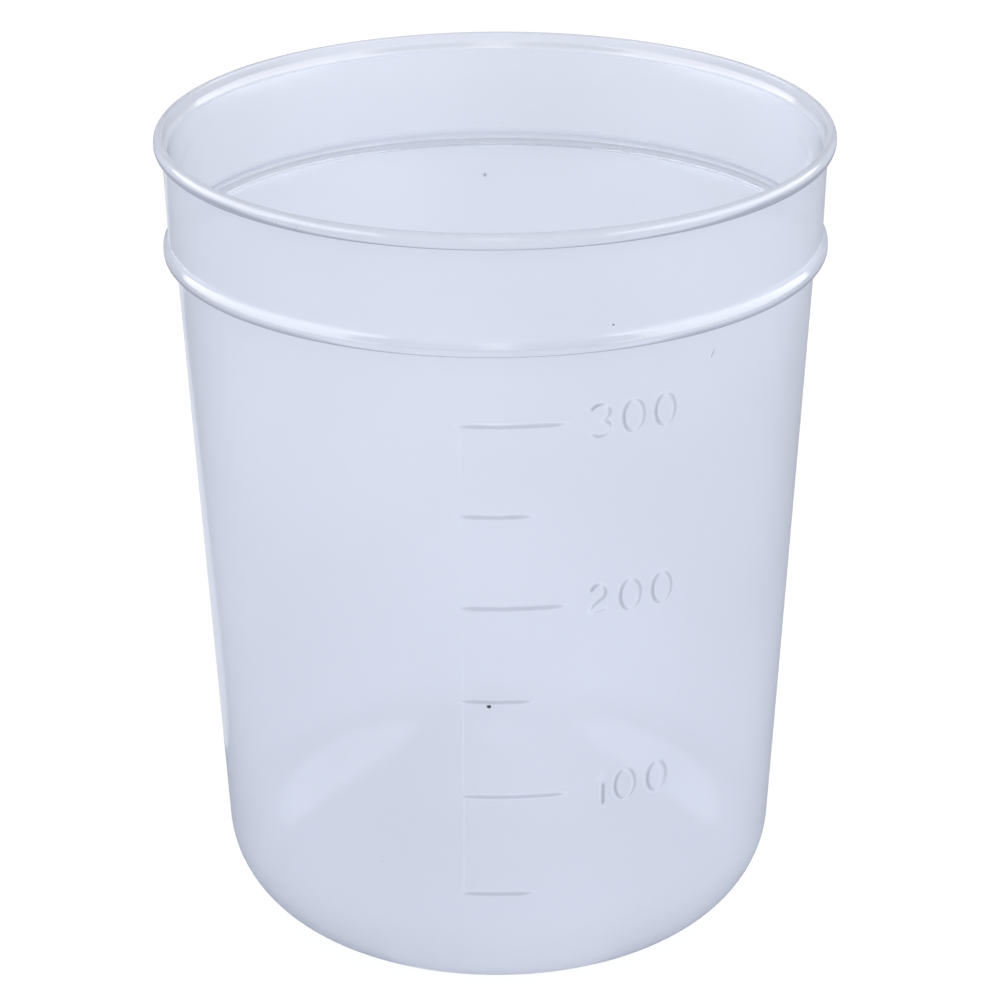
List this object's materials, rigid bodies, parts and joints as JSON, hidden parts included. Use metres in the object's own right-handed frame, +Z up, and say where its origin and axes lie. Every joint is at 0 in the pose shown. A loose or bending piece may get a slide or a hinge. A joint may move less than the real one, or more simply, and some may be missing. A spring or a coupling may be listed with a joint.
{
  "type": "disposable lab cup",
  "caption": "Open disposable laboratory cup with a tapered thin wall, rim, ring bead and raised volume marks, for measuring and mixing liquids.",
  "frame": {"origin": "middle of the standing ring, on the surface that the cup rests on", "axes": "+Z up along the cup's axis; the volume marks face -Y and read with +X to the right"},
  "size_m": [0.082, 0.082, 0.1022],
  "materials": {
    "polypropylene": "natural translucent polypropylene, smooth moulded gloss"
  },
  "bodies": {
    "root": {"cup": "polypropylene"}
  },
  "joints": []
}
